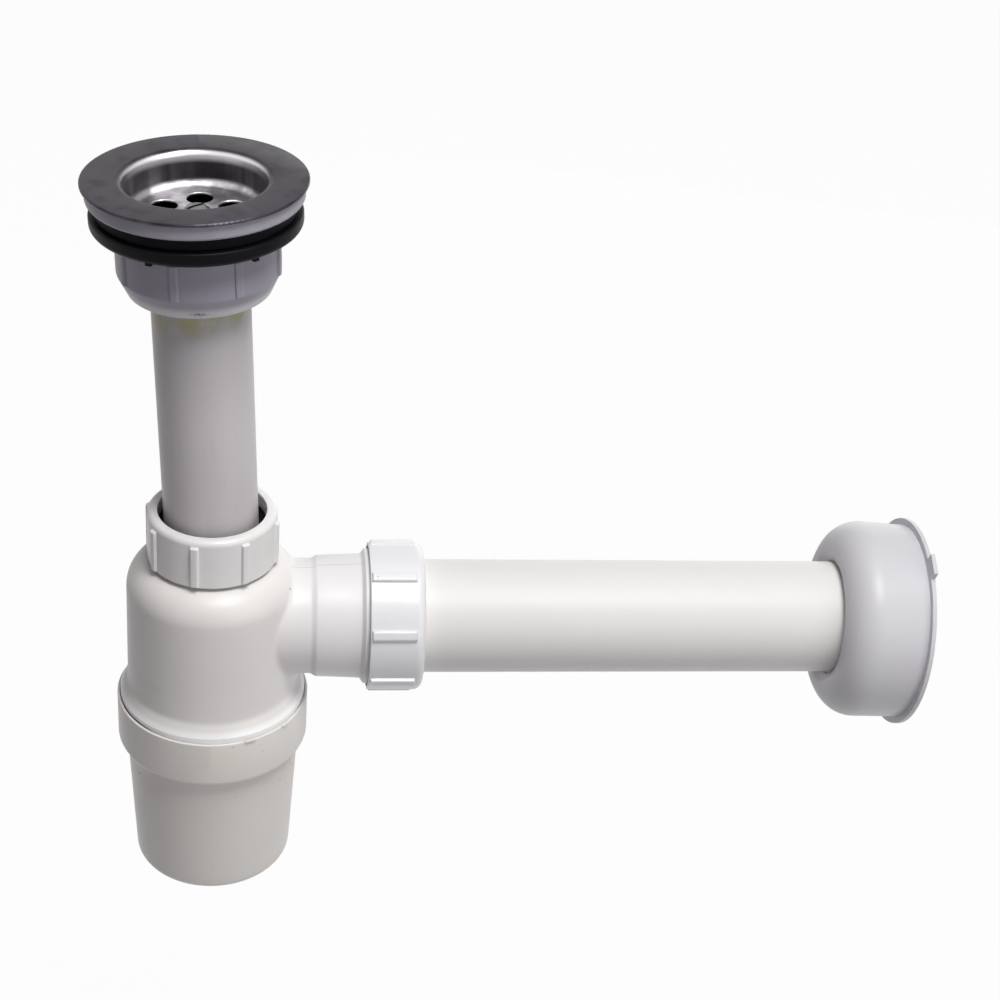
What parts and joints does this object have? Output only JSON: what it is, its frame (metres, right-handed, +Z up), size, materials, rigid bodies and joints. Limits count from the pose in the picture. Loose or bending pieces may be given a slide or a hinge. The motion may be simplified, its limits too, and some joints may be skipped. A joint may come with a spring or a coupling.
{
  "type": "bottle trap",
  "caption": "Basin bottle trap with strainer waste, adjustable tail pipe, screw-off cup, straight outlet pipe and wall cover.",
  "frame": {"origin": "middle of the plane in which the basin is clamped between the two seals, on the waste axis", "axes": "+Z up along the waste and tail pipe, +X towards the wall along the outlet, which falls by 2.14 degrees"},
  "size_m": [0.2879, 0.075, 0.2691],
  "materials": {
    "steel": "pressed, brushed stainless",
    "brass": "turned",
    "pale_seal": "translucent pale plastic seal",
    "black_rubber": "matt",
    "black_plastic": "satin moulded",
    "nut_white": "moulded, semi-gloss",
    "body_white": "moulded, semi-gloss",
    "pipe_grey_white": "extruded, semi-gloss",
    "pipe_ivory": "extruded, glossy",
    "cover_white": "moulded, semi-gloss"
  },
  "bodies": {
    "waste": {"strainer_plate": "steel", "strainer_screw": "steel", "waste_insert": "brass", "upper_seal": "pale_seal", "lower_seal": "black_rubber", "waste_body": "black_plastic"},
    "tail": {"tail_gasket": "black_rubber", "tail_pipe": "pipe_grey_white"},
    "waste_nut": {"waste_nut": "nut_white"},
    "height_seal": {"inlet_seal": "black_rubber"},
    "trap": {"trap_body": "body_white"},
    "inlet_ring": {"inlet_slip_ring": "nut_white"},
    "inlet_nut": {"inlet_nut": "nut_white"},
    "cup_seal": {"cup_seal": "black_rubber"},
    "cup": {"cup": "body_white"},
    "outlet_ring": {"outlet_slip_ring": "nut_white"},
    "outlet_nut": {"outlet_nut": "nut_white"},
    "outlet_seal": {"outlet_seal": "black_rubber"},
    "outlet_pipe": {"outlet_pipe": "pipe_ivory"},
    "rosette": {"rosette": "cover_white"}
  },
  "joints": [
    {"name": "tail_drop", "type": "slide", "parent": "waste", "child": "tail", "axis": [0, 0, -1], "range_m": [0, 0.00901]},
    {"name": "waste_nut_turn", "type": "hinge", "parent": "tail", "child": "waste_nut", "pos_m": [0, 0, -0.02805], "axis": [0, 0, -1], "range_deg": [0, 1080]},
    {"name": "trap_height", "type": "slide", "parent": "tail", "child": "height_seal", "axis": [0, 0, 1], "range_m": [-0.03, 0.02]},
    {"name": "trap_swivel", "type": "hinge", "parent": "height_seal", "child": "trap", "pos_m": [0.00022, 0, -0.1222], "axis": [0.0373, 0, 0.9993], "continuous": true},
    {"name": "inlet_ring_lift", "type": "slide", "parent": "trap", "child": "inlet_ring", "axis": [0.0373, 0, 0.9993], "range_m": [0, 0.00901]},
    {"name": "inlet_nut_turn", "type": "hinge", "parent": "inlet_ring", "child": "inlet_nut", "pos_m": [0.00039, 0, -0.11781], "axis": [0.0373, 0, 0.9993], "range_deg": [0, 1080]},
    {"name": "cup_drop", "type": "slide", "parent": "trap", "child": "cup_seal", "axis": [-0.0373, 0, -0.9993], "range_m": [0, 0.01201]},
    {"name": "cup_turn", "type": "hinge", "parent": "cup_seal", "child": "cup", "pos_m": [-0.0029, 0, -0.20585], "axis": [-0.0373, 0, -0.9993], "range_deg": [0, 1440]},
    {"name": "outlet_ring_slide", "type": "slide", "parent": "trap", "child": "outlet_ring", "axis": [0.9993, 0, -0.0373], "range_m": [0, 0.00901]},
    {"name": "outlet_nut_turn", "type": "hinge", "parent": "outlet_ring", "child": "outlet_nut", "pos_m": [0.06872, 0, -0.16119], "axis": [0.9993, 0, -0.0373], "range_deg": [0, 1080]},
    {"name": "pipe_turn", "type": "hinge", "parent": "trap", "child": "outlet_seal", "pos_m": [0.06482, 0, -0.16104], "axis": [0.9993, 0, -0.0373], "continuous": true},
    {"name": "pipe_slide", "type": "slide", "parent": "outlet_seal", "child": "outlet_pipe", "axis": [0.9993, 0, -0.0373], "range_m": [0, 0.02]},
    {"name": "rosette_slide", "type": "slide", "parent": "outlet_pipe", "child": "rosette", "axis": [-0.9993, 0, 0.0373], "range_m": [0, 0.12]}
  ],
  "couplings": [
    {"joint": "tail_drop", "follows": "waste_nut_turn", "m_per_rad": 0.00047746},
    {"joint": "inlet_ring_lift", "follows": "inlet_nut_turn", "m_per_rad": 0.00047746},
    {"joint": "cup_drop", "follows": "cup_turn", "m_per_rad": 0.00047746},
    {"joint": "outlet_ring_slide", "follows": "outlet_nut_turn", "m_per_rad": 0.00047746}
  ]
}
